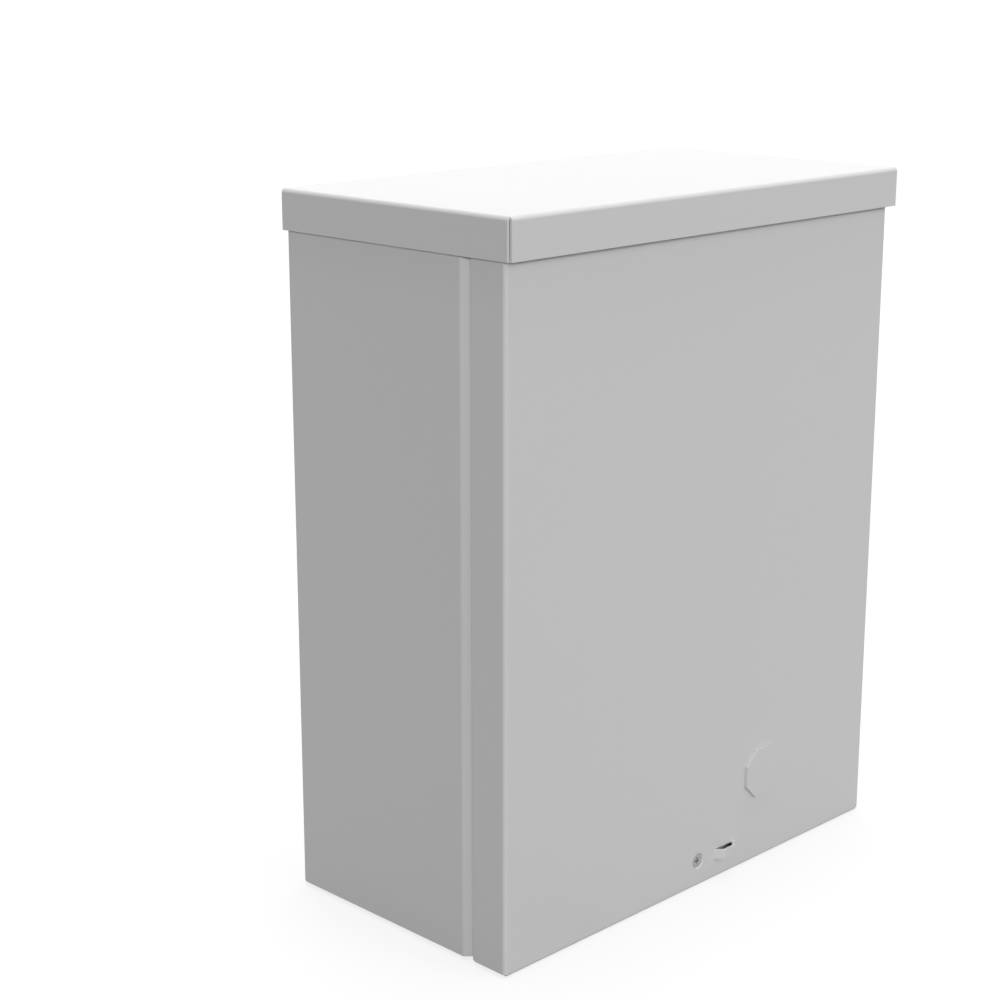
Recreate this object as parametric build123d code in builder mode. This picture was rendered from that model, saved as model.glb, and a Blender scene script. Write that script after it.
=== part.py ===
from build123d import *
from math import sqrt, tan, radians
import os

# A rainproof sheet steel enclosure with a drip shield and a slip-on cover that one captive screw holds.
# X runs to the right across the front, Y to the rear and Z up. X is 0 in the middle of the width, Y in the
# middle of the depth over everything, and Z at the cover's lower edge, which the box can stand on.

# Sheet and its bends
sheet = 1.52
bend_inner = 0.9

# Body over its outside faces, with the depth taken from the cover's face to the back wall's rear face. Its
# lower edges and those of the cover's side flanges stand a little over the cover's bottom flange.
body_width = 304.8
body_depth = 159.0
overall_height = 387.9
body_rise = 1.7

# Drip shield: how far it stands out past the body's sides and the cover's face, and its flanges
shield_side_reach = 2.5
shield_front_reach = 5.2
shield_flange = 21.5
shield_notch = 2.0

# Step along the front of the body's sides, which leaves room for the cover's side flanges
step_start = 30.4
cover_side_gap = 2.0
rim_width = 10.0

# Cover
cover_side_flange = 23.4
cover_bottom_flange = 12.7
cover_top_gap = 3.0
cover_corner_radius = 1.2

# Dimpled screw hole near the bottom of the cover, in the middle of its width
screw_height = 15.4
dimple_mouth = 9.4
dimple_hole = 5.3
dimple_land = 1.15

# Cover screw with a 90 degree countersunk head and a cross recess
screw_diameter = 4.8
screw_head = 8.2
head_gap = 0.05
recess_span = 4.4
recess_width = 0.9
recess_depth = 1.3
stake_flare = 0.4
stake_length = 0.6

# Nut plate that the screw draws against the lip, and its play along the screw
nut_width = 12.0
nut_thickness = 3.0
nut_above_screw = 4.8
nut_travel = 2.0
nut_chamfer = 0.5

# Lanced loop that a seal wire goes through, measured at the cover's face
loop_left = 15.8
loop_opening = 13.8
loop_bottom = 12.0
loop_strip = 5.7
loop_reach = 4.5
loop_end = 1.5

# Bare eight-sided badge plate on the cover
badge_across = 29.2
badge_sides = 8
badge_thickness = 1.8
badge_edge = 0.25
badge_x = 54.6
badge_height = 53.7

# Closing plates of the body and their turned flanges
floor_height = 23.0
top_flange = 19.0
plate_setback = 1.5
weep_diameter = 6.4
weep_from_side = 40.0
weep_from_rim = 20.0

# Embossed wall mounting pads on the back
pad_height = 3.2
pad_face = 22.0
mount_hole = 7.9
mount_from_side = 25.4
mount_from_end = 37.6

# Bonding boss, raised into the box, and its hexagon screw
boss_height = 3.2
boss_face = 16.0
boss_from_side = 80.0
boss_from_floor = 32.0
ground_diameter = 4.8
ground_length = 6.0
ground_head_across = 7.9
ground_head_sides = 6
ground_head_height = 3.2
ground_collar = 10.5
ground_collar_height = 0.8
ground_slot_width = 1.2
ground_slot_depth = 1.2

# Clearances
paint_gap = 0.1
thread_gap = 0.05
slot_gap = 0.5
foot_gap = 1.5
cut_over = 1.0

# Places worked out from the sizes above
bend_outer = bend_inner + sheet
half_width = body_width / 2
front_y = -(body_depth + pad_height - shield_front_reach) / 2
rear_y = front_y + body_depth
under_shield = overall_height - sheet
cover_top = under_shield - cover_top_gap
step_depth = sheet + cover_side_gap
step_half = half_width - step_depth
step_rear_y = front_y + step_start
step_front_y = step_rear_y - step_depth
dimple_depth = (dimple_mouth - dimple_hole) / 2
dimple_reach = dimple_depth + dimple_land
rim_y = front_y + dimple_reach + paint_gap
rim_half = step_half - rim_width
lip_half = rim_half - paint_gap
foot_z = sheet + foot_gap
nut_y = rim_y + sheet + paint_gap
screw_radius = screw_diameter / 2
cone_shift = sheet * (sqrt(2) - 1)
corner_shift = sheet * tan(radians(22.5))


def block(x_span, y_span, z_span, mode=Mode.SUBTRACT):
    """Cuts or adds a box between its lowest and highest X, Y and Z."""
    spans = (x_span, y_span, z_span)
    with Locations(tuple((low + high) / 2 for low, high in spans)):
        Box(*(high - low for low, high in spans), mode=mode)


def both_sides(near, far):
    """Returns the X span of a place on the left and of the same place on the right."""
    return (-far, -near), (near, far)


def turned(profile, x, z, mode=Mode.ADD):
    """Turns a closed profile of (radius, y) points about the line along Y through x and z."""
    with BuildSketch(Plane(origin=(x, 0, z), x_dir=(1, 0, 0), z_dir=(0, 0, 1))) as section:
        with BuildLine():
            Polyline(*profile, close=True)
        make_face()
    revolve(section.sketch, axis=Axis((x, 0, z), (0, 1, 0)), mode=mode)


def embossed(x, z, wall, press, face, height, hole):
    """Presses a flat pad with a hole out of a wall, where press is 1 to the rear and -1 to the front."""
    near_y, far_y = wall if press > 0 else wall[::-1]
    top_y = far_y + press * height
    radius = face / 2
    turned(((0, near_y), (radius + height, far_y), (radius, top_y), (0, top_y)), x, z)
    hollow = radius - cone_shift
    floor_y = near_y + press * height
    over_y = top_y + press * cut_over
    turned(
        (
            (0, near_y),
            (hollow + height, near_y),
            (hollow, floor_y),
            (hole / 2, floor_y),
            (hole / 2, over_y),
            (0, over_y),
        ),
        x,
        z,
        Mode.SUBTRACT,
    )


def plate_outline():
    """Returns the plan of a closing plate, which follows the wrap's inside and has a lip at the front."""
    inside = half_width - sheet
    ramp = corner_shift + bend_inner
    right = [
        (lip_half, rim_y),
        (lip_half, rim_y + sheet + plate_setback),
        (step_half - sheet, rim_y + sheet + plate_setback),
        (step_half - sheet, step_front_y + ramp),
        (inside, step_rear_y + ramp),
        (inside, rear_y - sheet),
    ]
    return right + [(-x, y) for x, y in reversed(right)]


def closing_plate(plate, top_z, bottom_z):
    """Makes a plate with its lip, side and rear flanges turned down, open at the flange corners."""
    with BuildSketch(Plane.XY.offset(bottom_z)) as plan:
        with BuildLine():
            Polyline(*plate_outline(), close=True)
        make_face()
    extrude(plan.sketch, amount=top_z - bottom_z)
    top_edges = plate.edges().filter_by(GeomType.LINE).group_by(Axis.Z)[-1]
    lip_edge = top_edges.filter_by(Axis.X).sort_by(Axis.Y)[0]
    rear_edge = top_edges.filter_by(Axis.X).sort_by(Axis.Y)[-1]
    side_edges = top_edges.filter_by(Axis.Y).sort_by(Axis.X)
    upright = plate.edges().filter_by(Axis.Z).group_by(Axis.Y)[-1]
    fillet([lip_edge, rear_edge, side_edges[0], side_edges[-1], *upright], bend_outer)
    offset(amount=-sheet, openings=plate.faces().filter_by(Axis.Z).sort_by(Axis.Z)[0])
    below = (bottom_z - cut_over, top_z - bend_outer)
    side_start = step_rear_y + bend_outer + sheet
    corner = bend_outer + sheet
    for x_span in both_sides(lip_half - bend_outer, half_width):
        block(x_span, (rim_y + sheet, side_start), below)
    for x_span in both_sides(half_width - sheet - corner, half_width):
        block(x_span, (rear_y - sheet - corner, rear_y), below)


# Body wrap, whose plan runs from the right return edge round the back to the left one
wrap_turns = (
    (step_half, rim_y, bend_outer),
    (step_half, step_front_y, bend_inner),
    (half_width, step_rear_y, bend_outer),
    (half_width, rear_y, bend_outer),
)
wrap_right = [(rim_half, rim_y)] + [(x, y) for x, y, _ in wrap_turns]
wrap_radii = [radius for _, _, radius in wrap_turns]
back_wall = (rear_y - sheet, rear_y)
mount_x = half_width - mount_from_side
boss_x = boss_from_side - half_width
boss_z = floor_height + boss_from_floor

with BuildPart() as body_wrap:
    with BuildSketch(Plane.XY.offset(body_rise)):
        with BuildLine():
            FilletPolyline(
                *wrap_right,
                *[(-x, y) for x, y in reversed(wrap_right)],
                radius=wrap_radii + wrap_radii[::-1],
            )
            offset(amount=sheet, side=Side.LEFT)
        make_face()
    extrude(amount=under_shield - body_rise)
    for x_span in both_sides(rim_half - cut_over, half_width):
        block(x_span, (rim_y - cut_over, step_front_y), (-cut_over, foot_z))
    for x in (-mount_x, mount_x):
        for z in (mount_from_end, under_shield - mount_from_end):
            embossed(x, z, back_wall, 1, pad_face, pad_height, mount_hole)
    ground_hole = ground_diameter + 2 * thread_gap
    embossed(boss_x, boss_z, back_wall, -1, boss_face, boss_height, ground_hole)

# Top plate, spot welded inside the wrap under the shield
with BuildPart() as top_plate:
    closing_plate(top_plate, under_shield, under_shield - top_flange)

# Bottom plate, set up inside the wrap so that its lip hangs behind the cover's lower edge. The lip's slot is
# open below, so the loosened screw and its nut plate leave it as the cover slides down.
slot_width = screw_diameter + 2 * slot_gap
lip_span = (rim_y - cut_over, rim_y + sheet + cut_over)

with BuildPart() as bottom_plate:
    closing_plate(bottom_plate, floor_height, foot_z)
    block((-slot_width / 2, slot_width / 2), lip_span, (0, screw_height))
    slot_radius = slot_width / 2
    slot_profile = ((0, lip_span[0]), (slot_radius, lip_span[0]), (slot_radius, lip_span[1]), (0, lip_span[1]))
    turned(slot_profile, 0, screw_height, Mode.SUBTRACT)
    weep_x = half_width - weep_from_side
    weep_y = rim_y + weep_from_rim
    with Locations((-weep_x, weep_y, floor_height), (weep_x, weep_y, floor_height)):
        Hole(weep_diameter / 2, depth=2 * sheet)

# Drip shield: one sheet with front and side flanges, notched at the front corners and open at the back
shield_half = half_width + shield_side_reach
shield_front_y = front_y - shield_front_reach

with BuildPart() as drip_shield:
    block(
        (-shield_half, shield_half),
        (shield_front_y, rear_y),
        (overall_height - shield_flange, overall_height),
        Mode.ADD,
    )
    shield_top = drip_shield.faces().sort_by(Axis.Z)[-1]
    fillet(shield_top.edges().sort_by(Axis.Y)[:-1], bend_outer)
    open_faces = [drip_shield.faces().sort_by(Axis.Z)[0], drip_shield.faces().sort_by(Axis.Y)[-1]]
    offset(amount=-sheet, openings=open_faces)
    for x_span in both_sides(shield_half - shield_notch, shield_half + cut_over):
        block(
            x_span,
            (shield_front_y - cut_over, shield_front_y + shield_notch),
            (overall_height - shield_flange - cut_over, overall_height + cut_over),
        )

# Cover: one sheet with side and bottom flanges, relieved at the lower corners
flange_rear_y = front_y + cover_side_flange
bottom_rear_y = front_y + cover_bottom_flange
loop_right = loop_left + loop_opening
loop_top = loop_bottom + loop_strip
loop_foot = sheet * sqrt(2)
loop_face_y = front_y - loop_reach

with BuildPart() as front_cover:
    block((-half_width, half_width), (front_y, flange_rear_y), (0, cover_top), Mode.ADD)
    face_edges = front_cover.faces().sort_by(Axis.Y)[0].edges()
    fillet(face_edges.sort_by(Axis.Z)[:-1], bend_outer)
    open_faces = [front_cover.faces().sort_by(Axis.Z)[-1], front_cover.faces().sort_by(Axis.Y)[-1]]
    offset(amount=-sheet, openings=open_faces)
    block(
        (sheet - half_width, half_width - sheet),
        (bottom_rear_y, flange_rear_y + cut_over),
        (-cut_over, sheet),
    )
    for x_span in both_sides(half_width - bend_outer, half_width + cut_over):
        block(x_span, (front_y - cut_over, flange_rear_y + cut_over), (-cut_over, body_rise))
    fillet(front_cover.edges().filter_by(Axis.X).group_by(Axis.Y)[-1], cover_corner_radius)

    # Dimple, pressed in so that the screw's head sinks and the nose meets the lip
    cone_back = dimple_mouth / 2 + cone_shift
    nose_start = front_y + sheet
    nose_end = front_y + dimple_reach
    nose_radius = cone_back + sheet - dimple_reach
    nose = ((0, nose_start), (cone_back, nose_start), (nose_radius, nose_end), (0, nose_end))
    turned(nose, 0, screw_height)
    turned(
        (
            (0, front_y),
            (dimple_mouth / 2, front_y),
            (dimple_hole / 2, front_y + dimple_depth),
            (dimple_hole / 2, nose_end + cut_over),
            (0, nose_end + cut_over),
        ),
        0,
        screw_height,
        Mode.SUBTRACT,
    )

    # Lanced loop, cut along both its long edges and pressed out
    block(
        (loop_left - loop_foot, loop_right + loop_foot),
        (front_y - cut_over, front_y + sheet + cut_over),
        (loop_bottom, loop_top),
    )
    with BuildSketch(Plane.XY.offset(loop_bottom)):
        with BuildLine():
            FilletPolyline(
                (loop_left - loop_foot - loop_end, front_y),
                (loop_left - loop_foot, front_y),
                (loop_left - loop_foot + loop_reach, loop_face_y),
                (loop_right + loop_foot - loop_reach, loop_face_y),
                (loop_right + loop_foot, front_y),
                (loop_right + loop_foot + loop_end, front_y),
                radius=[bend_inner, bend_outer, bend_outer, bend_inner],
            )
            offset(amount=sheet, side=Side.LEFT)
        make_face()
    extrude(amount=loop_strip)

# Badge plate, bare, on the face of the cover
with BuildPart() as badge_plate:
    with BuildSketch(Plane(origin=(badge_x, front_y, badge_height), x_dir=(1, 0, 0), z_dir=(0, -1, 0))):
        RegularPolygon(badge_across / 2, badge_sides, major_radius=False, rotation=180 / badge_sides)
    extrude(amount=badge_thickness)
    fillet(badge_plate.faces().sort_by(Axis.Y)[0].edges(), badge_edge)

# Cover screw, seated in the dimple, with its end staked so that the nut plate stays on
head_radius = screw_head / 2
cone_gap = head_gap * sqrt(2)
head_y = front_y + dimple_mouth / 2 - head_radius - cone_gap
neck_y = front_y + dimple_mouth / 2 - screw_radius - cone_gap
stake_y = nut_y + nut_thickness + nut_travel
tip_y = stake_y + stake_length
recess_spans = ((-recess_span / 2, recess_span / 2), (-recess_width / 2, recess_width / 2))

with BuildPart() as cover_screw:
    turned(
        (
            (0, head_y),
            (head_radius, head_y),
            (screw_radius, neck_y),
            (screw_radius, stake_y),
            (screw_radius + stake_flare, stake_y),
            (screw_radius + stake_flare, tip_y),
            (0, tip_y),
        ),
        0,
        screw_height,
    )
    for x_span, z_span in (recess_spans, recess_spans[::-1]):
        z_low, z_high = (screw_height + z for z in z_span)
        block(x_span, (head_y - cut_over, head_y + recess_depth), (z_low, z_high))

# Nut plate, whose foot stands just over the cover's bottom flange and keeps it from turning
with BuildPart() as nut_plate:
    block(
        (-nut_width / 2, nut_width / 2),
        (nut_y, nut_y + nut_thickness),
        (sheet + paint_gap, screw_height + nut_above_screw),
        Mode.ADD,
    )
    chamfer(nut_plate.edges().filter_by(Axis.Y), nut_chamfer)
    turned(
        (
            (0, nut_y),
            (screw_radius + thread_gap, nut_y),
            (screw_radius + thread_gap, nut_y + nut_thickness),
            (0, nut_y + nut_thickness),
        ),
        0,
        screw_height,
        Mode.SUBTRACT,
    )

# Bonding screw in the raised boss of the back wall
boss_y = rear_y - sheet - boss_height
collar_y = boss_y - ground_collar_height
head_top_y = collar_y - ground_head_height

with BuildPart() as ground_screw:
    turned(
        (
            (0, collar_y),
            (ground_collar / 2, collar_y),
            (ground_collar / 2, boss_y),
            (ground_diameter / 2, boss_y),
            (ground_diameter / 2, boss_y + ground_length),
            (0, boss_y + ground_length),
        ),
        boss_x,
        boss_z,
    )
    with BuildSketch(Plane(origin=(boss_x, collar_y, boss_z), x_dir=(1, 0, 0), z_dir=(0, -1, 0))):
        RegularPolygon(ground_head_across / 2, ground_head_sides, major_radius=False)
    extrude(amount=ground_head_height)
    block(
        (boss_x - ground_head_across, boss_x + ground_head_across),
        (head_top_y - cut_over, head_top_y + ground_slot_depth),
        (boss_z - ground_slot_width / 2, boss_z + ground_slot_width / 2),
    )

os.makedirs("parts", exist_ok=True)
pieces = {
    "body_wrap": body_wrap,
    "top_plate": top_plate,
    "bottom_plate": bottom_plate,
    "drip_shield": drip_shield,
    "front_cover": front_cover,
    "badge_plate": badge_plate,
    "cover_screw": cover_screw,
    "nut_plate": nut_plate,
    "ground_screw": ground_screw,
}
for name, piece in pieces.items():
    piece.part.label = name
    export_step(piece.part, f"parts/{name}.step")
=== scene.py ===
"""Dresses a rainproof sheet steel enclosure: a drip shield, a slip-on cover, one captive screw.

The sizes of the pieces are in millimetres, and those of the studio and of the finishes in metres.
"""

import logging
import math
from abc import ABC, abstractmethod
from dataclasses import dataclass
from enum import Enum
from typing import Any, Callable, ClassVar

import bpy
import numpy as np
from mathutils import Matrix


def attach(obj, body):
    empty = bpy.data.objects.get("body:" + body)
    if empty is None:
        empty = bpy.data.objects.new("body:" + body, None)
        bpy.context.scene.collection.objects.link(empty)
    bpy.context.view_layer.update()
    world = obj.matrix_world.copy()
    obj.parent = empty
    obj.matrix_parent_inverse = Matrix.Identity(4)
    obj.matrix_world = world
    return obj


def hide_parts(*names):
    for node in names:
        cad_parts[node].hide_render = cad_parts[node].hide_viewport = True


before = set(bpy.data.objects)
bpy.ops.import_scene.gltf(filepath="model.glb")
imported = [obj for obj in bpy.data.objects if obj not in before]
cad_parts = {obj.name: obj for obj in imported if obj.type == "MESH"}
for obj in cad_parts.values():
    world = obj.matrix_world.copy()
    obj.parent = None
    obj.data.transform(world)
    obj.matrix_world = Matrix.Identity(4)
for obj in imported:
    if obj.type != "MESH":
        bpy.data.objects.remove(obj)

LOG = logging.getLogger("enclosure")
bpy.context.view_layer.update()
MM = 0.001
MERGE_PLACES = 3
NEAR = 1e-6
SHARP_DEG = 40.0
THREAD_SLOPE = 1.15
THREAD_CREST = 0.12
MIRRORED = ([1.0, 1.0, 1.0], [-1.0, 1.0, 1.0])
Point = tuple[float, float]
Vec3 = tuple[float, float, float]
Sizes = tuple[float, ...]
Profile = list[Point]
Span = tuple[float, float, int]
Array = np.ndarray
Pair = tuple[Array, Array]
Placer = Callable[[Array], Array]
Chooser = Callable[[Array, Array], Array]


class Slot(Enum):
    """The record's material slots that the pieces take their finish from."""

    PAINT = "paint"
    PLATED = "plated_steel"
    GREEN = "green_steel"


class Output(Enum):
    """The node that a shader graph ends in."""

    MATERIAL = "ShaderNodeOutputMaterial"
    WORLD = "ShaderNodeOutputWorld"


class Side(Enum):
    """Where a path's outer face lies, seen along the path."""

    LEFT = 1
    RIGHT = -1


class Value:
    """One float socket of a shader graph, whose operators add Math nodes."""

    def __init__(self, graph: "Graph", socket: Any) -> None:
        """Keeps the graph and the socket that carries the value."""
        self.graph = graph
        self.socket = socket

    def _with(self, operation: str, first: Any, second: Any = 0.0) -> "Value":
        """Returns the result of a Math node on two values or numbers."""
        return self.graph.node("ShaderNodeMath", {"operation": operation}, {0: first, 1: second})

    def __add__(self, other: Any) -> "Value":
        """Returns self + other."""
        return self._with("ADD", self, other)

    def __radd__(self, other: Any) -> "Value":
        """Returns other + self."""
        return self._with("ADD", other, self)

    def __sub__(self, other: Any) -> "Value":
        """Returns self - other."""
        return self._with("SUBTRACT", self, other)

    def __rsub__(self, other: Any) -> "Value":
        """Returns other - self."""
        return self._with("SUBTRACT", other, self)

    def __mul__(self, other: Any) -> "Value":
        """Returns self * other."""
        return self._with("MULTIPLY", self, other)

    def __rmul__(self, other: Any) -> "Value":
        """Returns other * self."""
        return self._with("MULTIPLY", other, self)


class Graph:
    """The node graph of one material or world."""

    def __init__(self, tree: Any) -> None:
        """Takes over an empty node tree."""
        self.tree = tree
        tree.nodes.clear()

    def node(
        self, kind: str, settings: dict | None = None, inputs: dict | None = None, out: int | str = 0
    ) -> Value:
        """Adds one node.

        Args:
            kind: the node's type.
            settings: its own properties, set before its sockets.
            inputs: a socket's index or name to a number, a tuple or a Value.
            out: the index or name of the output that is wanted.

        Returns:
            The chosen output.
        """
        made = self.tree.nodes.new(kind)
        for name, setting in (settings or {}).items():
            setattr(made, name, setting)
        for name, given in (inputs or {}).items():
            if isinstance(given, Value):
                self.tree.links.new(given.socket, made.inputs[name])
            else:
                made.inputs[name].default_value = given
        return Value(self, made.outputs[out] if made.outputs else None)

    def place(self) -> Value:
        """Returns the object coordinates in metres."""
        return self.node("ShaderNodeTexCoord", out="Object")

    def noise(self, where: Value, scale: float, detail: float = 2.0, rough: float = 0.5) -> Value:
        """Returns a noise value between 0 and 1 with the given cycles per metre."""
        given = {"Vector": where, "Scale": scale, "Detail": detail, "Roughness": rough}
        return self.node("ShaderNodeTexNoise", {}, given, "Fac")

    def mix(self, factor: Any, first: Any, second: Any) -> Value:
        """Returns a colour between two colours."""
        inputs = {"Factor": factor, 6: first, 7: second}
        return self.node("ShaderNodeMix", {"data_type": "RGBA"}, inputs, 2)

    def bump(self, height: Value, distance: float) -> Value:
        """Returns a normal for a height field whose full height is the distance in metres."""
        return self.node("ShaderNodeBump", {}, {"Height": height, "Strength": 1.0, "Distance": distance})

    def surface(self, shader: Value, output: Output = Output.MATERIAL) -> None:
        """Ends the graph in its output node."""
        self.node(output.value, {}, {"Surface": shader})


def new_graph(name: str) -> tuple[Any, Graph]:
    """Makes a material.

    Args:
        name: its name.

    Returns:
        The material and its empty graph.
    """
    material = bpy.data.materials.new(name)
    material.use_nodes = True
    return material, Graph(material.node_tree)


def tint(colour: Vec3, factor: float) -> tuple[float, float, float, float]:
    """Returns a colour times a factor, with full alpha."""
    return (colour[0] * factor, colour[1] * factor, colour[2] * factor, 1.0)


@dataclass(frozen=True)
class PowderCoat:
    """Baked powder paint: a fine orange peel with slow drifts of tone and gloss.

    The sizes named per_m are cycles per metre, and drift is how far the tone strays to either side.
    """

    name: str
    slot: Slot
    colour: Vec3
    roughness: float = 0.5
    peel_per_m: float = 620.0
    speck_per_m: float = 1612.0
    wave_per_m: float = 173.6
    peel_height: float = 0.000012
    drift_per_m: float = 9.0
    drift: float = 0.012

    def make(self) -> Any:
        """Makes the paint: slow drift and specks in its tone, peel and a longer wave in its normal.

        Returns:
            The material.
        """
        material, graph = new_graph(self.name)
        where = graph.place()
        slow = graph.noise(where, self.drift_per_m, 2.0)
        speck = graph.noise(where, self.speck_per_m, 1.0)
        tone = slow * 0.7 + speck * 0.3
        colour = graph.mix(tone, tint(self.colour, 1 - self.drift), tint(self.colour, 1 + self.drift))
        peel = graph.noise(where, self.peel_per_m, 2.0, 0.45)
        wave = graph.noise(where, self.wave_per_m, 1.0)
        normal = graph.bump(peel * 0.7 + wave * 0.5, self.peel_height)
        inputs = {
            "Base Color": colour,
            "Roughness": self.roughness - 0.04 + slow * 0.05 + peel * 0.03,
            "Normal": normal,
            "IOR": 1.47,
        }
        graph.surface(graph.node("ShaderNodeBsdfPrincipled", {}, inputs))
        return material


@dataclass(frozen=True)
class Plating:
    """Barrel plated steel: bright metal with soft cloudy spangles and fine tumbling marks.

    The sizes named per_m are cycles per metre.
    """

    name: str
    slot: Slot
    colour: Vec3
    roughness: float = 0.3
    cloud_per_m: float = 260.0
    mark_per_m: float = 2600.0
    mark_height: float = 0.000006

    def make(self) -> Any:
        """Makes the plating: clouds in its tone and gloss, tumbling marks in its normal.

        Returns:
            The material.
        """
        material, graph = new_graph(self.name)
        where = graph.place()
        cloud = graph.noise(where, self.cloud_per_m, 3.0)
        marks = graph.noise(where, self.mark_per_m, 2.0, 0.6)
        colour = graph.mix(cloud, tint(self.colour, 0.9), tint(self.colour, 1.08))
        inputs = {
            "Base Color": colour,
            "Metallic": 1.0,
            "Roughness": self.roughness - 0.06 + cloud * 0.1 + marks * 0.04,
            "Normal": graph.bump(marks, self.mark_height),
        }
        graph.surface(graph.node("ShaderNodeBsdfPrincipled", {}, inputs))
        return material


@dataclass(frozen=True)
class Finishes:
    """Every finish on the enclosure."""

    paint: PowderCoat = PowderCoat("light_grey_powder_coat", Slot.PAINT, (0.56, 0.56, 0.56))
    zinc: Plating = Plating("bright_zinc_plate", Slot.PLATED, (0.36, 0.36, 0.355), 0.34)
    green: Plating = Plating("green_zinc_plate", Slot.GREEN, (0.1, 0.35, 0.16), 0.36)

    def made(self) -> dict[Slot, Any]:
        """Returns the material for each slot."""
        return {finish.slot: finish.make() for finish in (self.paint, self.zinc, self.green)}


@dataclass(frozen=True)
class SoftSun:
    """One broad soft light that reaches every place alike.

    toward is the way from the object to the light, power its strength in watts per square metre, and
    spread_deg its soft width.
    """

    name: str
    toward: Vec3
    power: float
    spread_deg: float

    def hang(self) -> None:
        """Adds the light to the scene, turned so that it shines from toward to the object."""
        data = bpy.data.lights.new(self.name, "SUN")
        data.energy = self.power
        data.angle = math.radians(self.spread_deg)
        lamp = bpy.data.objects.new(self.name, data)
        east, north, up = self.toward
        lamp.rotation_euler = (math.atan2(math.hypot(east, north), up), 0.0, math.atan2(east, -north))
        bpy.context.scene.collection.objects.link(lamp)


@dataclass
class Studio:
    """The camera, lights, white surround and floor.

    eye is the camera's place and floor_reach half the floor's side. ambient is the surround's strength as a
    light, floor_tone the floor's own grey, and floor_glow its glow, which is seen and lights nothing.
    """

    eye: Vec3 = (-0.83278, -0.75375, 0.50908)
    tilt_deg: float = 75.0023
    turn_deg: float = -45.066
    lens_mm: float = 74.90
    film_mm: float = 36.0
    floor_reach: float = 40.0
    floor_height: float = -0.0002
    ambient: float = 0.2
    floor_tone: float = 0.18
    floor_glow: float = 0.79
    key: SoftSun = SoftSun("key_light", (-0.707, -0.707, 0.268), 1.62, 12.0)
    front: SoftSun = SoftSun("front_light", (0.3, -0.95, 0.45), 0.94, 40.0)
    back: SoftSun = SoftSun("back_light", (0.7, 0.7, 0.3), 0.8, 60.0)
    top: SoftSun = SoftSun("top_light", (0.05, 0.05, 1.0), 2.5, 30.0)

    def set_up(self) -> None:
        """Adds everything around the object."""
        self._camera()
        self._world()
        self._floor()
        for light in (self.key, self.front, self.back, self.top):
            light.hang()

    def _camera(self) -> None:
        """Adds the camera at the photograph's place."""
        data = bpy.data.cameras.new("view")
        data.lens = self.lens_mm
        data.sensor_width = self.film_mm
        camera = bpy.data.objects.new("view", data)
        camera.location = self.eye
        camera.rotation_euler = (math.radians(self.tilt_deg), 0.0, math.radians(self.turn_deg))
        bpy.context.scene.collection.objects.link(camera)
        bpy.context.scene.camera = camera

    @staticmethod
    def _looked_at(graph: Graph) -> Value:
        """Adds the test for what the camera sees directly, in a reflection or through glass.

        Args:
            graph: the graph that asks.

        Returns:
            1 where the camera sees it, and else 0.
        """
        rays = ("Is Camera Ray", "Is Glossy Ray", "Is Transmission Ray")
        camera, glossy, through = (graph.node("ShaderNodeLightPath", out=ray) for ray in rays)
        return camera + glossy + through

    def _world(self) -> None:
        """Makes a surround that looks white and lights softly."""
        world = bpy.data.worlds.new("studio_world")
        bpy.context.scene.world = world
        world.use_nodes = True
        graph = Graph(world.node_tree)
        strength = self.ambient + self._looked_at(graph) * (1.0 - self.ambient)
        inputs = {"Color": (1.0, 1.0, 1.0, 1.0), "Strength": strength}
        graph.surface(graph.node("ShaderNodeBackground", {}, inputs), Output.WORLD)

    def _floor(self) -> None:
        """Lays a pale floor that shows the object's shadow."""
        reach = self.floor_reach
        mesh = bpy.data.meshes.new("floor")
        low = self.floor_height
        corners = [(-reach, -reach, low), (reach, -reach, low), (reach, reach, low), (-reach, reach, low)]
        mesh.from_pydata(corners, [], [(0, 1, 2, 3)])
        floor = bpy.data.objects.new("floor", mesh)
        material, graph = new_graph("pale_floor")
        tone = self.floor_tone
        matt = graph.node("ShaderNodeBsdfDiffuse", {}, {"Color": (tone, tone, tone, 1.0)})
        glow = graph.node("ShaderNodeEmission", {}, {"Strength": self._looked_at(graph) * self.floor_glow})
        graph.surface(graph.node("ShaderNodeAddShader", {}, {0: matt, 1: glow}))
        mesh.materials.append(material)
        bpy.context.scene.collection.objects.link(floor)


def lines(*stops: Span) -> Array:
    """Returns the sorted, merged places of several evenly divided stretches.

    Args:
        stops: (start, end, divisions) of each stretch.

    Returns:
        The places, with any two nearer than a thousandth of a millimetre made one.
    """
    places = np.concatenate([np.linspace(start, end, count + 1) for start, end, count in stops])
    return np.unique(np.round(places, MERGE_PLACES))


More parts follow.
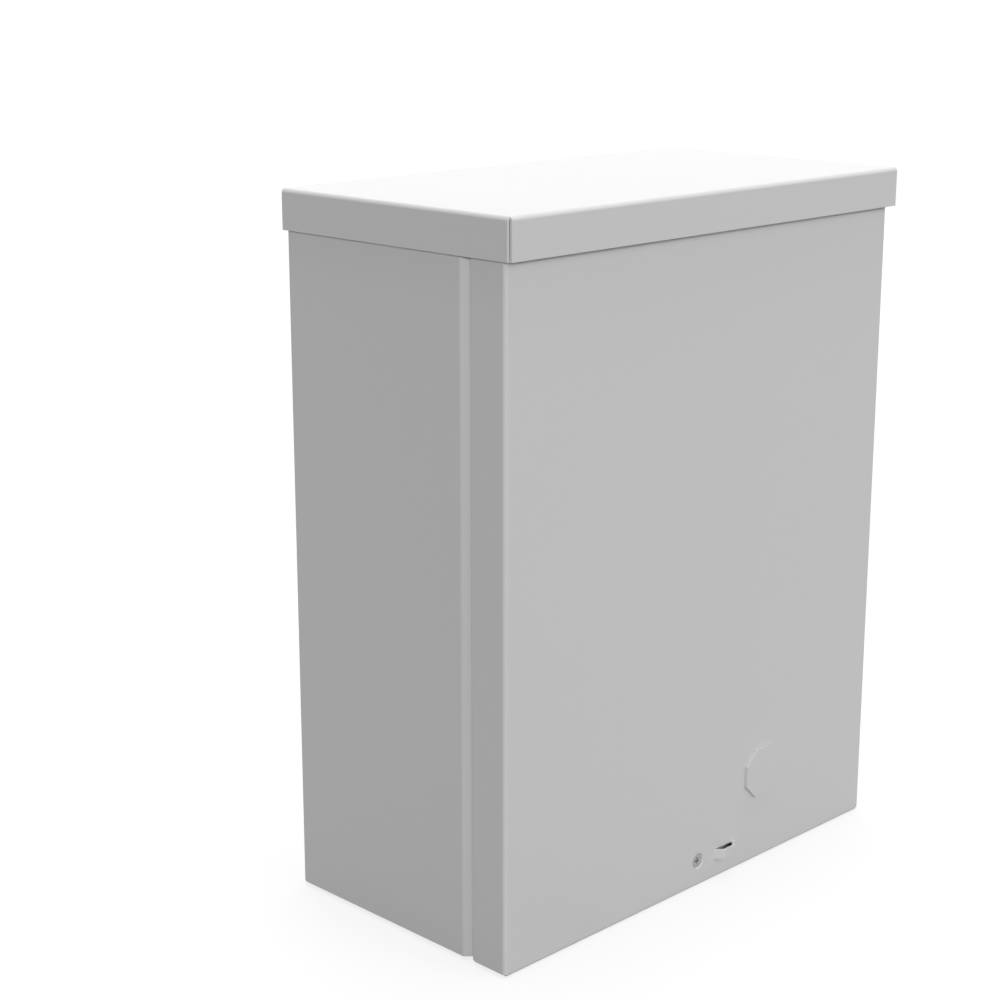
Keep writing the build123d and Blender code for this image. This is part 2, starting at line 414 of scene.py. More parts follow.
def bent_path(points: Profile, radii: Sizes, side: Side, steps: int) -> Pair:
    """Rounds a polyline and gives its normals.

    Along an arc of radius r that turns by t from heading a, the point at heading h is
    centre - sign(t) * r * left(h), where left(h) = (-sin h, cos h). The normal is left(h), or its opposite
    where the outer face is on the right.

    Args:
        points: the corners, with the two ends.
        radii: the bend's radius at each inner corner.
        side: where the outer face lies.
        steps: the number of faces along each bend.

    Returns:
        The points and their outward normals, both (n, 2).
    """
    corners = np.array(points, float)
    ways = np.diff(corners, axis=0)
    heads = np.arctan2(ways[:, 1], ways[:, 0])
    turns = (np.diff(heads) + np.pi) % (2 * np.pi) - np.pi
    at, normal = [corners[:1]], [left_of(heads[:1]) * side.value]
    for corner, head, turn, radius in zip(corners[1:-1], heads[:-1], turns, radii):
        sign = np.sign(turn)
        start = corner - radius * abs(np.tan(turn / 2)) * np.array([np.cos(head), np.sin(head)])
        centre = start + sign * radius * left_of(np.array([head]))
        sweep = left_of(head + turn * np.linspace(0.0, 1.0, steps + 1))
        at.append(centre - sign * radius * sweep)
        normal.append(side.value * sweep)
    at.append(corners[-1:])
    normal.append(left_of(heads[-1:]) * side.value)
    return np.concatenate(at), np.concatenate(normal)


def left_of(heads: Array) -> Array:
    """Returns the unit vectors to the left of some headings."""
    return stacked(-np.sin(heads), np.cos(heads))


def stacked(*parts: Any) -> Array:
    """Returns points whose coordinates are the parts, each stretched to the shape that they share."""
    return np.stack(np.broadcast_arrays(*parts), -1)


def ramp(distance: Array, width: float, start: float = 0.0) -> Array:
    """Returns start + distance / width, kept between 0 and 1."""
    return np.clip(distance / width + start, 0, 1)


def upright(y: float, way: float) -> Placer:
    """Returns a placer that puts (x, z, height) points on a wall at y, heights along Y times way."""
    return lambda points: stacked(points[..., 0], y + way * points[..., 2], points[..., 1])


def carried(path: Array, normal: Array, heights: Array, sheet: float) -> Pair:
    """Carries a plan straight up.

    The outer face is (path x, path y, height), and the inner face is the sheet's thickness behind it, against
    the normal.

    Args:
        path: the plan of the outer face, (n, 2).
        normal: its outward normals, (n, 2).
        heights: the places up.
        sheet: the sheet's thickness.

    Returns:
        The grids of the outer and the inner face, (heights, n, 3).
    """
    outer = stacked(path[:, 0], path[:, 1], heights[:, None])
    return outer, outer - sheet * stacked(normal[:, 0], normal[:, 1], 0.0)


@dataclass
class Pressing:
    """A round feature pressed into a flat panel, as rings about its middle.

    u and v are its middle on the panel and half is half the side of the square that it takes up. outer and
    inner hold the (radius, height) of each ring, where height is positive towards the outer side.
    """

    u: float
    v: float
    half: float
    outer: Array
    inner: Array

    @classmethod
    def rounded(
        cls, middle: Point, half: float, outer: Profile, inner: Profile, radius: float
    ) -> "Pressing":
        """Makes a pressing with one small radius at the inner corners of both profiles.

        Args:
            middle: its middle on the panel.
            half: half the side of its square.
            outer: the (radius, height) profile of the outer face, from the flat to the hole.
            inner: that of the inner face.
            radius: the small radius.

        Returns:
            The pressing.
        """
        rings = [bent_path(profile, (radius, radius), Side.LEFT, 4)[0] for profile in (outer, inner)]
        return cls(*middle, half, *rings)

    def spans(self, divisions: int = 8) -> tuple[Span, Span]:
        """Returns the stretches of grid lines that the feature needs along u and v."""
        across = (self.u - self.half, self.u + self.half, divisions)
        return across, (self.v - self.half, self.v + self.half, divisions)

    def covers(self, u: Array, v: Array) -> Array:
        """Returns which places lie inside the feature's square."""
        return (np.abs(u - self.u) < self.half) & (np.abs(v - self.v) < self.half)

    def rings(self, us: Array, vs: Array) -> Pair:
        """Works out the grids of the outer and inner faces, from the square to the hole.

        Each ring's points lie in the directions of the square's boundary points, so that they join the panel:
        (u, v) = middle + radius * (cos d, sin d), where d is that direction.

        Args:
            us: the panel's grid lines along u.
            vs: those along v.

        Returns:
            The two grids of (u, v, height) points.
        """
        across = us[np.abs(us - self.u) < self.half + NEAR]
        along = vs[np.abs(vs - self.v) < self.half + NEAR]
        low, high = np.full_like(across, along[0]), np.full_like(across, along[-1])
        left, right = np.full_like(along, across[0]), np.full_like(along, across[-1])
        edge_u = np.concatenate([across, right[1:], across[::-1][1:], left[1:]])
        edge_v = np.concatenate([low, along[1:], high[1:], along[::-1][1:]])
        way = np.arctan2(edge_v - self.v, edge_u - self.u)
        square = stacked(edge_u, edge_v, 0.0)[None]
        faces = []
        for rings in (self.outer, self.inner):
            radius, height = rings[:, :1], rings[:, 1:]
            circles = stacked(self.u + radius * np.cos(way), self.v + radius * np.sin(way), height)
            faces.append(np.concatenate([square, circles]))
        return faces[0], faces[1]


class Skin:
    """Paired grids of a sheet's outer and inner faces, which close into one mesh."""

    def __init__(self) -> None:
        """Starts with no grid."""
        self.outer: list[Array] = []
        self.inner: list[Array] = []
        self.quads: list[Array] = []
        self.count = 0

    def grid(self, outer: Array, inner: Array, kept: Array | None = None) -> None:
        """Adds a grid of both faces, turned so that its normals point from the inner to the outer face.

        Args:
            outer: the outer face's points, (rows, columns, 3), in millimetres.
            inner: the inner face's points, the same way.
            kept: which of its cells to keep, or None for all.
        """
        rows, columns = outer.shape[:2]
        index = np.arange(rows * columns).reshape(rows, columns)
        cells = np.stack([index[:-1, :-1], index[:-1, 1:], index[1:, 1:], index[1:, :-1]], -1)
        cells = cells[kept] if kept is not None else cells.reshape(-1, 4)
        at, back = outer.reshape(-1, 3), inner.reshape(-1, 3)
        one, two = at[cells[:, 2]] - at[cells[:, 0]], at[cells[:, 3]] - at[cells[:, 1]]
        away = (at[cells] - back[cells]).mean(1)
        if (np.cross(one, two) * away).sum() < 0:
            cells = cells[:, ::-1]
        self.outer.append(at)
        self.inner.append(back)
        self.quads.append(cells + self.count)
        self.count += rows * columns

    def panel(
        self,
        us: Array,
        vs: Array,
        place: Placer,
        sheet: float,
        features: list[Pressing],
        cut: Chooser | None = None,
    ) -> None:
        """Adds a flat panel with pressed features.

        Args:
            us: the grid lines along the panel.
            vs: the grid lines up the panel.
            place: a function from (u, v, height) points to the frame, where height 0 is the outer face.
            sheet: the sheet's thickness.
            features: the pressings on it.
            cut: a function of the cells' middles that says which are cut away, if any are.
        """
        flat = stacked(us, vs[:, None], 0.0)
        deep = flat - [0.0, 0.0, sheet]
        middle = (flat[:-1, :-1] + flat[1:, 1:]) / 2
        u, v = middle[..., 0], middle[..., 1]
        kept = np.ones_like(u, bool) if cut is None else ~cut(u, v)
        for feature in features:
            kept &= ~feature.covers(u, v)
            top, under = feature.rings(us, vs)
            under[0, :, 2] -= sheet
            self.grid(place(top), place(under))
        self.grid(place(flat), place(deep), kept)

    def made(self, name: str) -> Any:
        """Merges the seams, closes every cut edge with a strip from face to face, and makes the object.

        A cut edge is one that only one quad has: the pair (start, end) with no pair (end, start).

        Args:
            name: the piece's name.

        Returns:
            The object.
        """
        outer, inner = np.concatenate(self.outer), np.concatenate(self.inner)
        quads = np.concatenate(self.quads)
        pairs = np.round(np.hstack([outer, inner]), MERGE_PLACES)
        _, first, same = np.unique(pairs, axis=0, return_index=True, return_inverse=True)
        same = same.reshape(-1)
        outer, inner, quads = outer[first], inner[first], same[quads]
        quads = quads[(quads != np.roll(quads, 1, 1)).sum(1) > 2]
        count = len(outer)
        starts, ends = quads.reshape(-1), np.roll(quads, -1, 1).reshape(-1)
        real = starts != ends
        starts, ends = starts[real], ends[real]
        alone = ~np.isin(starts * count + ends, ends * count + starts)
        start, end = starts[alone], ends[alone]
        rims = np.stack([end, start, start + count, end + count], -1)
        faces = np.concatenate([quads, quads[:, ::-1] + count, rims])
        return made_object(name, np.concatenate([outer, inner]), faces)


def made_object(name: str, points: Array, quads: Array) -> Any:
    """Makes a mesh object, in which points at one place are one.

    A quad with two equal corners becomes a triangle, and one with fewer than three different corners goes.

    Args:
        name: the piece's name.
        points: (n, 3) in millimetres.
        quads: (m, 4) indices, wound outwards.

    Returns:
        The object, linked to the scene.
    """
    places = np.round(points, MERGE_PLACES)
    _, first, same = np.unique(places, axis=0, return_index=True, return_inverse=True)
    quads = same.reshape(-1)[quads]
    fresh = quads != np.roll(quads, 1, 1)
    sides = fresh.sum(1)
    three = sides == 3
    faces = quads[sides == 4].tolist() + quads[three][fresh[three]].reshape(-1, 3).tolist()
    mesh = bpy.data.meshes.new(name)
    mesh.from_pydata((points[first] * MM).tolist(), [], faces)
    mesh.validate()
    piece = bpy.data.objects.new(name, mesh)
    bpy.context.scene.collection.objects.link(piece)
    return piece


def turned(name: str, middle: Point, around: Array, radius: Array, depth: Array) -> Any:
    """Makes a closed piece from rings about a line along Y.

    A point is (x + radius * cos a, depth, z + radius * sin a). The signed volume tells which way the faces
    point, and they are turned outwards.

    Args:
        name: the piece's name.
        middle: the x and z of the line.
        around: the angles of a ring's points.
        radius: the radius at (ring, angle), 0 on the first and last ring.
        depth: the y at (ring, angle).

    Returns:
        The object.
    """
    points = stacked(middle[0] + radius * np.cos(around), depth, middle[1] + radius * np.sin(around))
    rows, columns = radius.shape
    index = np.arange(rows * columns).reshape(rows, columns)
    beside = np.roll(index, -1, 1)
    quads = np.stack([index[:-1], beside[:-1], beside[1:], index[1:]], -1).reshape(-1, 4)
    flat = points.reshape(-1, 3)
    a, b, c, d = (flat[quads[:, k]] - flat[0] for k in range(4))
    volume = (a * np.cross(b, c)).sum() + (a * np.cross(c, d)).sum()
    return made_object(name, flat, quads if volume > 0 else quads[:, ::-1])


class Piece(ABC):
    """A piece of the dressed part, which builds its mesh and dresses it.

    body is the body it rides on, node the node it stands for, slot the record's slot for its finish, and edge
    the width of the rounding on its sharp edges, in millimetres.
    """

    body: ClassVar[str] = "box"
    node: ClassVar[str]
    slot: ClassVar[Slot] = Slot.PAINT
    edge: ClassVar[float] = 0.12

    @abstractmethod
    def build(self) -> Any:
        """Returns the piece's object."""

    def dress(self, piece: Any, finishes: dict[Slot, Any]) -> None:
        """Rounds a piece's sharp edges, smooths it and gives it its finish and its body.

        Args:
            piece: the object that build made.
            finishes: the material for each slot.
        """
        piece.data.polygons.foreach_set("use_smooth", np.ones(len(piece.data.polygons), bool))
        piece.data.materials.append(finishes[self.slot])
        if self.edge:
            bevel = piece.modifiers.new("edges", "BEVEL")
            bevel.width = self.edge * MM
            bevel.segments = 2
            bevel.limit_method = "ANGLE"
            bevel.angle_limit = math.radians(SHARP_DEG)
            bevel.use_clamp_overlap = False
        piece.modifiers.new("normals", "WEIGHTED_NORMAL").keep_sharp = True
        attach(piece, self.body)
        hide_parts(self.node)


@dataclass(frozen=True)
class Stock:
    """The sheet and the places that several pieces share, in millimetres.

    bend and tight are the outer and inner radii of a bend, and steps the faces along it. shift is how far a
    cone at 45 degrees lies further out on the face that it stands out from, sheet * (sqrt(2) - 1). half is
    half the body's width, front the cover's face, rear the back wall's rear face, rise the lower edge of the
    walls, and under the underside of the shield.
    """

    sheet: float = 1.52
    bend: float = 2.42
    tight: float = 0.9
    shift: float = 0.63
    steps: int = 8
    half: float = 152.4
    front: float = -78.5
    rear: float = 80.5
    rise: float = 1.7
    under: float = 386.38

    def turns(self, limit: float) -> Array:
        """Returns a bend's angles up to a right angle, with the one where bend * sin(angle) is the limit."""
        first = math.asin(limit / self.bend)
        return np.concatenate([[0.0], np.linspace(first, math.pi / 2, self.steps + 1)])

    def mitre(self, angles: Array, limit: float) -> Pair:
        """Returns how far two bends that meet at a corner reach past their common start.

        Each face reaches radius * sin(angle), until the outer face meets the cut at the limit.

        Args:
            angles: the angles round the bend.
            limit: where the corner is cut away.

        Returns:
            The reach of the outer face and that of the inner face, at each angle.
        """
        outer = self.bend * np.sin(angles)
        inner = np.where(outer < limit + NEAR, self.tight * np.sin(angles), limit)
        return np.minimum(outer, limit), inner


@dataclass
class WallWrap(Piece):
    """The folded side and back walls, with wall pads and the bonding boss pressed in the back.

    The pads and the boss have the radii of their raised face, their hole and the flat round them, and half
    the side of their square on the wall.
    """

    node = "body_wrap"

    stock: Stock
    step_half: float = 148.88
    rim_half: float = 138.88
    rim_y: float = -75.2
    step_front: float = -51.62
    step_rear: float = -48.1
    foot: float = 3.02
    pad_x: float = 127.0
    pad_heights: Sizes = (37.6, 348.78)
    pad_radii: Vec3 = (11.0, 3.95, 15.6)
    pad_square: float = 16.0
    boss: Point = (-72.4, 55.0)
    boss_radii: Vec3 = (8.0, 2.45, 12.4)
    boss_square: float = 13.0
    press: float = 3.2
    easing: float = 0.9

    def build(self) -> Any:
        """Joins two folded strips by the back panel.

        Returns:
            The object.
        """
        stock = self.stock
        features = [self._pad((x, z)) for x in (-self.pad_x, self.pad_x) for z in self.pad_heights]
        features.append(self._boss())
        spans = [feature.spans() for feature in features]
        reach = stock.half - stock.bend
        us = lines((-reach, reach, 2), *[across for across, _ in spans])
        heights = lines((stock.rise, self.foot, 1), (self.foot, stock.under, 1), *[up for _, up in spans])
        skin = Skin()
        skin.panel(us, heights, upright(stock.rear, 1.0), stock.sheet, features)
        self._sides(skin, heights)
        return skin.made("wall_wrap")

    def _sides(self, skin: Skin, heights: Array) -> None:
        """Adds both folded sides: the plan of the edge, step and wall carried up the heights.

        Args:
            skin: the grids so far.
            heights: the places up the wall.
        """
        stock = self.stock
        plan = [
            (self.rim_half, self.rim_y),
            (self.step_half, self.rim_y),
            (self.step_half, self.step_front),
            (stock.half, self.step_rear),
            (stock.half, stock.rear),
            (stock.half - stock.bend, stock.rear),
        ]
        radii = (stock.bend, stock.tight, stock.bend, stock.bend)
        outer, inner = carried(*bent_path(plan, radii, Side.RIGHT, stock.steps), heights, stock.sheet)
        low = heights[1:, None] < self.foot + NEAR
        forward = outer[:1, 1:, 1] < self.step_front
        for way in reversed(MIRRORED):
            skin.grid(outer * way, inner * way, ~(low & forward))

    def _pad(self, middle: Point) -> Pressing:
        """Makes a wall pad with its bolt hole, pressed to the rear.

        Args:
            middle: its x and z.

        Returns:
            The pressing.
        """
        near, far = self._cone(self.pad_radii)
        inner = [(radius, height - self.stock.sheet) for radius, height in far]
        return Pressing.rounded(middle, self.pad_square, near, inner, self.easing)

    def _boss(self) -> Pressing:
        """Makes the bonding boss, pressed towards the inside.

        Returns:
            The pressing.
        """
        near, far = self._cone(self.boss_radii)
        outer = [(radius, -height) for radius, height in far]
        inner = [(radius, -height - self.stock.sheet) for radius, height in near]
        return Pressing.rounded(self.boss, self.boss_square, outer, inner, self.easing)

    def _cone(self, radii: Vec3) -> tuple[Profile, Profile]:
        """Works out a pressed cone's profile on the face that it stands out from and on the other face.

        A cone at 45 degrees is as wide as it is high, and on the other face it lies the shift further in.

        Args:
            radii: those of the raised face, the hole and the flat round the cone.

        Returns:
            The two profiles as (radius, height), with each face's flat at height 0.
        """
        face, hole, flat = radii
        mouth, shift = face + self.press, self.stock.shift
        start, end = (flat, 0.0), (hole, self.press)
        near = [start, (mouth, 0.0), (face, self.press), end]
        return near, [start, (mouth - shift, 0.0), (face - shift, self.press), end]


@dataclass
class DripShield(Piece):
    """The drip shield: a top with front and side flanges, cut away by the notch at the front corners."""

    node = "drip_shield"

    stock: Stock
    half: float = 154.9
    front: float = -83.7
    top: float = 387.9
    flange: float = 21.5
    notch: float = 1.6

    def build(self) -> Any:
        """Makes the top, and bends that follow a quarter circle down into the flanges.

        At angle a, a bend is out by radius * sin a and down by radius * (1 - cos a), and the mitre says how
        far it reaches into the corner.

        Returns:
            The object.
        """
        stock, skin = self.stock, Skin()
        limit = stock.bend - self.notch
        angles = stock.turns(limit)
        reach, tight_reach = (np.append(part, limit) for part in stock.mitre(angles, limit))
        edge, lead = self.half - stock.bend, self.front + stock.bend
        flat = stacked([-edge, edge], [[lead], [stock.rear]], self.top)
        skin.grid(flat, flat - [0.0, 0.0, stock.sheet])
        fronts, sides = [], []
        for radius, past in ((stock.bend, reach), (stock.tight, tight_reach)):
            out = np.append(radius * np.sin(angles), radius)[:, None]
            down = np.append(self.top - stock.bend + radius * np.cos(angles), self.top - self.flange)[:, None]
            fronts.append(stacked(stacked(-edge - past, edge + past), lead - out, down))
            sides.append(stacked(edge + out, stacked(lead - past, stock.rear), down))
        skin.grid(*fronts)
        for way in MIRRORED:
            skin.grid(sides[0] * way, sides[1] * way)
        return skin.made("rain_shield")


@dataclass
class SlipCover(Piece):
    """The slip-on cover, with its dimple, its lanced loop and its side and bottom flanges.

    corner is the rounding of the side flanges' rear corners. The dimple has the radii of its mouth, its hole
    and the flat round it, its reach behind the face, and half the side of its square.
    """

    body = "cover"
    node = "front_cover"

    stock: Stock
    top: float = 383.38
    side_flange: float = 23.4
    bottom_flange: float = 12.7
    corner: float = 2.0
    dimple: Point = (0.0, 15.4)
    dimple_radii: Vec3 = (4.7, 2.65, 6.6)
    dimple_reach: float = 3.2
    dimple_square: float = 7.0
    dimple_easing: float = 0.5
    loop: Point = (15.8, 29.6)
    loop_heights: Point = (12.0, 17.7)
    loop_reach: float = 4.5

    def build(self) -> Any:
        """Makes the face, its three bends and flanges, and the loop.

        Returns:
            The object.
        """
        stock, skin = self.stock, Skin()
        dimple = self._dimple()
        across, up = dimple.spans()
        path, normal = self._loop_path()
        ends = (float(path[0, 0]), float(path[-1, 0]))
        edge = stock.half - stock.bend
        us = lines((-edge, edge, 1), across, (*ends, 1))
        vs = lines((stock.bend, self.top, 1), up, (*self.loop_heights, 1))
        low, high = self.loop_heights

        def slot(u: Array, v: Array) -> Array:
            """Returns which places lie behind the loop."""
            return (u > ends[0]) & (u < ends[1]) & (v > low) & (v < high)

        skin.panel(us, vs, upright(stock.front, -1.0), stock.sheet, [dimple], slot)
        heights = vs[(vs > low - NEAR) & (vs < high + NEAR)]
        skin.grid(*carried(path, normal, heights, stock.sheet))
        self._bottom(skin, us)
        self._sides(skin, vs)
        return skin.made("slip_cover")

    def _dimple(self) -> Pressing:
        """Makes the screw's dimple, a cone at 45 degrees with its nose behind the face.

        Returns:
            The pressing.
        """
        sheet, reach = self.stock.sheet, self.dimple_reach
        mouth, hole, flat = self.dimple_radii
        back = mouth + self.stock.shift
        nose = back + sheet - reach
        outer = [(flat, 0.0), (mouth, 0.0), (hole, hole - mouth), (hole, -reach)]
        inner = [(flat, -sheet), (back, -sheet), (nose, -reach), (hole, -reach)]
        return Pressing.rounded(self.dimple, self.dimple_square, outer, inner, self.dimple_easing)

    def _loop_path(self) -> Pair:
        """Works out the plan of the loop's outer face, from where it leaves the face to where it is back.

        Returns:
            The path and its normals.
        """
        stock = self.stock
        foot = stock.sheet * math.sqrt(2)
        left, right = self.loop[0] - foot, self.loop[1] + foot
        away = stock.front - self.loop_reach
        start = stock.tight * math.tan(math.pi / 8)
        plan = [
            (left - start, stock.front),
            (left, stock.front),
            (left + self.loop_reach, away),
            (right - self.loop_reach, away),
            (right, stock.front),
            (right + start, stock.front),
        ]
        radii = (stock.tight, stock.bend, stock.bend, stock.tight)
        return bent_path(plan, radii, Side.RIGHT, stock.steps)

    def _bottom(self, skin: Skin, us: Array) -> None:
        """Adds the bottom bend and flange; its ends follow the side bends down to their lower edge.

        Args:
            skin: the grids so far.
            us: the face's places across.
        """
        stock = self.stock
        limit = stock.bend - stock.rise
        angles = stock.turns(limit)
        faces = []
        for radius, past in zip((stock.bend, stock.tight), stock.mitre(angles, limit)):
            past = np.append(past, 0.0)[:, None]
            across = np.hstack([us[0] - past, us + 0 * past, us[-1] + past])
            ahead = np.append(stock.bend - radius * np.cos(angles), self.bottom_flange)
            height = np.append(stock.bend - radius * np.sin(angles), stock.bend - radius)
            faces.append(stacked(across, stock.front + ahead[:, None], height[:, None]))
        kept = np.ones((len(angles), len(us) + 1), bool)
        kept[1:, [0, -1]] = False
        skin.grid(faces[0], faces[1], kept)

    def _sides(self, skin: Skin, vs: Array) -> None:
        """Adds the side bends and flanges, whose rear corners follow a small quarter circle.

        Args:
            skin: the grids so far.
            vs: the face's places up.
        """
        stock = self.stock
        limit = stock.bend - stock.rise
        angles = stock.turns(limit)
        sweep = np.linspace(0.0, math.pi / 2, 5)
        round_y = self.side_flange - self.corner + self.corner * np.sin(sweep)
        round_z = self.corner * (1 - np.cos(sweep))
        faces = []
        for radius, past in zip((stock.bend, stock.tight), stock.mitre(angles, limit)):
            out = stock.half - stock.bend + radius * np.append(np.sin(angles), sweep * 0 + 1)
            ahead = np.append(stock.bend - radius * np.cos(angles), round_y)
            height = np.tile(vs, (len(out), 1))
            height[:, 0] = np.append(stock.bend - past, stock.rise + round_z)
            height[:, -1] -= np.append(0 * past, round_z)
            faces.append(stacked(out[:, None], stock.front + ahead[:, None], height))
        for way in MIRRORED:
            skin.grid(faces[0] * way, faces[1] * way)


@dataclass
class BadgePlate(Piece):
    """A bare eight-sided plate on the cover, with its front edge eased."""

    body = "cover"
    node = "badge_plate"

    middle: Point = (54.6, 53.7)
    back: float = -78.5
    apothem: float = 14.6
    thickness: float = 1.8
    ease: float = 0.25

    def build(self) -> Any:
        """Stacks eight-sided rings of radius (apothem - inset) / cos(22.5 degrees) at each depth.

        Returns:
            The object.
        """
        sweep = np.linspace(0.0, math.pi / 2, 4)
        inset = np.concatenate([[self.apothem, 0.0], self.ease * (1 - np.cos(sweep)), [self.apothem]])
        lift = self.thickness - self.ease + self.ease * np.sin(sweep)
        depth = self.back - np.concatenate([[0.0, 0.0], lift, [self.thickness]])
        around = math.pi / 8 + np.arange(8) * math.pi / 4
        radius = (self.apothem - inset)[:, None] / math.cos(math.pi / 8) + 0 * around
        return turned("badge", self.middle, around, radius, depth[:, None] + 0 * radius)


@dataclass
class CaptiveScrew(Piece):
    """The cover's countersunk screw, with a cross recess, a rolled thread and a staked end.

    head, neck, stake and tip are places along Y. The thread deepens over run_in and run_out, and stops
    plain_end before the stake. recess holds the reach, half the width and the depth of the cross, and
    recess_slopes how wide its sloping sides and ends are. The eases are the radii at the corners.
    """

    body = "screw"
    node = "cover_screw"
    slot = Slot.PLATED
    edge = 0.0

    middle: Point = (0.0, 15.4)
    head: float = -77.97
    neck: float = -76.27
    stake: float = -68.55
    tip: float = -67.98
    head_radius: float = 4.1
    radius: float = 2.4
    pitch: float = 1.06
    thread: float = 0.42
    run_in: float = 0.5
    run_out: float = 0.4
    plain_end: float = 0.2
    recess: Vec3 = (2.2, 0.45, 1.3)
    recess_slopes: Point = (0.16, 0.5)
    flare: float = 2.8
    lead: float = 0.3
    head_eases: Sizes = (0.1, 0.3)
    end_eases: Sizes = (0.12, 0.2)
    faces_round: int = 128
    head_rings: int = 26
    shank_rings: int = 80

    def build(self) -> Any:
        """Turns rings from the recess out over the head and down the thread to the end.

        Returns:
            The object.
        """
        around = np.linspace(0.0, 2 * math.pi, self.faces_round, endpoint=False)
        flat, start = self.head_radius - self.lead, self.neck + self.lead
        disc = np.linspace((0.0, self.head), (flat, self.head), self.head_rings)
        plan = [(flat, self.head), (self.head_radius, self.head), (self.radius, self.neck)]
        cone, _ = bent_path(plan + [(self.radius, start)], self.head_eases, Side.LEFT, 3)
        shank = np.linspace((self.radius, start), (self.radius, self.stake - 0.05), self.shank_rings)
        plan = [(self.radius, self.stake), (self.flare, self.stake), (self.flare, self.tip), (0.0, self.tip)]
        end, _ = bent_path(plan, self.end_eases, Side.LEFT, 3)
        profile = np.concatenate([disc, cone[1:], shank[1:], end])
        radius = profile[:, :1] + 0 * around
        depth = profile[:, 1:] + 0 * around
        fade = ramp(depth - start, self.run_in) * ramp(self.stake - self.plain_end - depth, self.run_out)
        radius = radius - fade * self.thread * thread_wave(depth, around, self.pitch)
        top = radius[: self.head_rings]
        depth[: self.head_rings] += self._sunk(top * np.cos(around), top * np.sin(around))
        return turned("captive_screw", self.middle, around, radius, depth)

    def _sunk(self, x: Array, z: Array) -> Array:
        """Works out the cross recess's depth, where each wing falls off as a ramp at its sides and its end.

        Args:
            x: the places across the head, from its middle.
            z: the places up it.

        Returns:
            The depth below the head's face.
        """
        reach, wide, deep = self.recess
        side, end = self.recess_slopes
        wings = [
            ramp(wide - np.abs(off), side, 0.5) * ramp(reach - np.abs(along), end)
            for off, along in ((x, z), (z, x))
        ]
        return deep * np.maximum(wings[0], wings[1])


@dataclass
class NutPlate(Piece):
    """The nut plate behind the lip, with its tapped hole.

    hole is the (radius, height) profile of the countersunk hole, and square half the side of its square.
    """

    body = "nut"
    node = "nut_plate"
    slot = Slot.PLATED
    edge = 0.3

    front: float = -73.58
    thickness: float = 3.0
    half: float = 6.0
    heights: Point = (1.62, 20.2)
    middle: Point = (0.0, 15.4)
    hole: tuple[Point, ...] = ((3.1, 0.0), (2.7, 0.0), (2.5, -0.2), (2.45, -0.6))
    square: float = 3.6

    def build(self) -> Any:
        """Makes a flat bar with one round hole, as a panel with two faces.

        Returns:
            The object.
        """
        rim = np.array(self.hole)
        under = rim * [1.0, 0.0] - [0.0, self.thickness]
        feature = Pressing(*self.middle, self.square, rim, under)
        across, up = feature.spans()
        skin = Skin()
        us, vs = lines((-self.half, self.half, 1), across), lines((*self.heights, 1), up)
        skin.panel(us, vs, upright(self.front, -1.0), self.thickness, [feature])
        return skin.made("nut_bar")


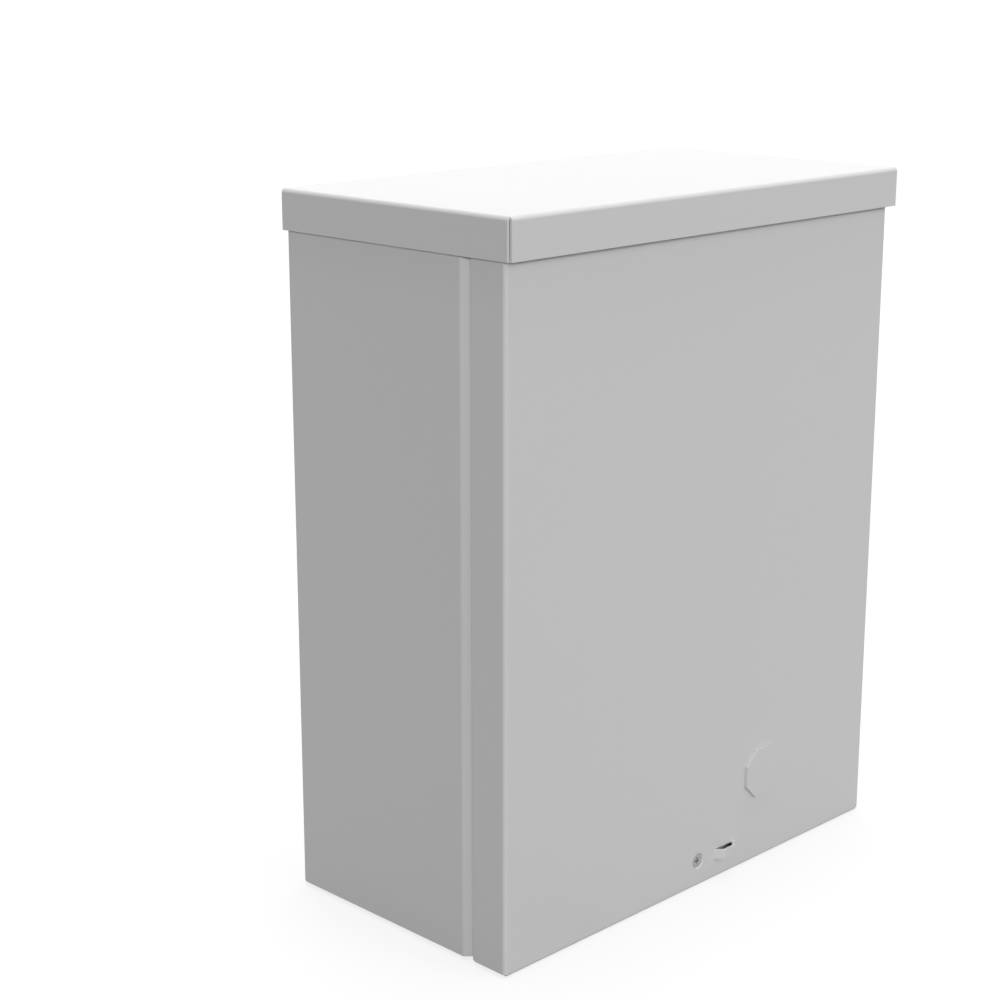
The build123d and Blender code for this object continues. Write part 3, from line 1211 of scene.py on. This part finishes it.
@dataclass
class BondingScrew(Piece):
    """The hexagon bonding screw with a slot and a collar, in the boss of the back wall.

    top, collar, boss and end are places along Y, and groove holds half the slot's width and its depth. The
    thread starts plain_neck from the boss and deepens over run_in.
    """

    node = "ground_screw"
    slot = Slot.GREEN
    edge = 0.0

    middle: Point = (-72.4, 55.0)
    top: float = 71.78
    collar: float = 74.98
    boss: float = 75.78
    end: float = 81.78
    apothem: float = 3.95
    collar_radius: float = 5.25
    radius: float = 2.4
    groove: Point = (0.6, 1.2)
    groove_slope: float = 0.14
    chamfer: float = 0.4
    plain_neck: float = 0.1
    run_in: float = 0.3
    pitch: float = 1.06
    thread: float = 0.42
    collar_eases: Sizes = (0.25, 0.12)
    faces_round: int = 144
    head_rings: int = 26
    shank_rings: int = 66

    def build(self) -> Any:
        """Turns rings over the hexagon head, the collar and the thread.

        The head's radius is apothem / cos(a - 30 degrees), with a measured within each sixth of the round.

        Returns:
            The object.
        """
        around = np.linspace(0.0, 2 * math.pi, self.faces_round, endpoint=False)
        sixth = np.mod(around, math.pi / 3) - math.pi / 6
        outline = self.apothem / np.cos(sixth)
        wide, deep = self.groove
        share = np.concatenate([np.linspace(0.0, 0.96, self.head_rings), [0.99, 1.0, 1.0, 1.0]])
        fall = np.concatenate([np.zeros(self.head_rings), [0.04, 0.14, deep + 0.05, self.collar - self.top]])
        head = share[:, None] * outline
        sunk = deep * ramp(wide - np.abs(head * np.sin(around)), self.groove_slope, 0.5)
        low = self.top + np.maximum(fall[:, None], sunk * (fall[:, None] < self.collar - self.top - 0.1))
        wide, neck = self.collar_radius, self.boss
        corners = [(wide - self.chamfer, self.collar), (wide, self.collar), (wide, neck), (self.radius, neck)]
        rim, _ = bent_path(corners, self.collar_eases, Side.LEFT, 3)
        shank = np.linspace((self.radius, self.boss), (self.radius, self.end), self.shank_rings)
        profile = np.concatenate([rim, shank, [[self.radius * 0.7, self.end], [0.0, self.end]]])
        radius, depth = profile[:, :1] + 0 * around, profile[:, 1:] + 0 * around
        fade = ramp(depth - self.boss - self.plain_neck, self.run_in) * (radius > self.radius - NEAR)
        radius = radius - fade * self.thread * thread_wave(depth, around, self.pitch)
        radius, depth = np.vstack([head, radius]), np.vstack([low, depth])
        return turned("bonding_screw", self.middle, around, radius, depth)


def thread_wave(depth: Array, around: Array, pitch: float) -> Array:
    """Works out a thread's fall below its crest, as a share of its depth.

    With p the fraction of depth / pitch - angle / turn, the fall is slope * (1 - abs(2p - 1)) - crest, cut
    flat at the crest and at the root.

    Args:
        depth: the places along the screw.
        around: the angles round it.
        pitch: the thread's pitch.

    Returns:
        The fall, from 0 to 1.
    """
    part = np.mod(depth / pitch - around / (2 * math.pi), 1.0)
    return np.clip(THREAD_SLOPE * (1 - np.abs(2 * part - 1)) - THREAD_CREST, 0, 1)


@dataclass
class ClosingPans:
    """The top and bottom pans, which keep the meshes of their nodes."""

    nodes: tuple[str, ...] = ("top_plate", "bottom_plate")

    def dress(self, finishes: dict[Slot, Any]) -> None:
        """Gives the pans the paint.

        Args:
            finishes: the material for each slot.
        """
        for name in self.nodes:
            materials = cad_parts[name].data.materials
            materials.clear()
            materials.append(finishes[Slot.PAINT])


def main() -> None:
    """Builds the whole scene and reports each piece."""
    logging.basicConfig(level=logging.INFO, format="%(name)s: %(message)s")
    bpy.context.scene.view_settings.view_transform = "Standard"
    Studio().set_up()
    finishes = Finishes().made()
    stock, pans = Stock(), ClosingPans()
    parts: list[Piece] = [WallWrap(stock), DripShield(stock), SlipCover(stock)]
    parts += [BadgePlate(), CaptiveScrew(), NutPlate(), BondingScrew()]
    for part in parts:
        piece = part.build()
        part.dress(piece, finishes)
        LOG.info("%s: %d faces on %s", piece.name, len(piece.data.polygons), part.body)
    pans.dress(finishes)
    LOG.info("painted: %s", ", ".join(pans.nodes))


if __name__ == "__main__":
    main()
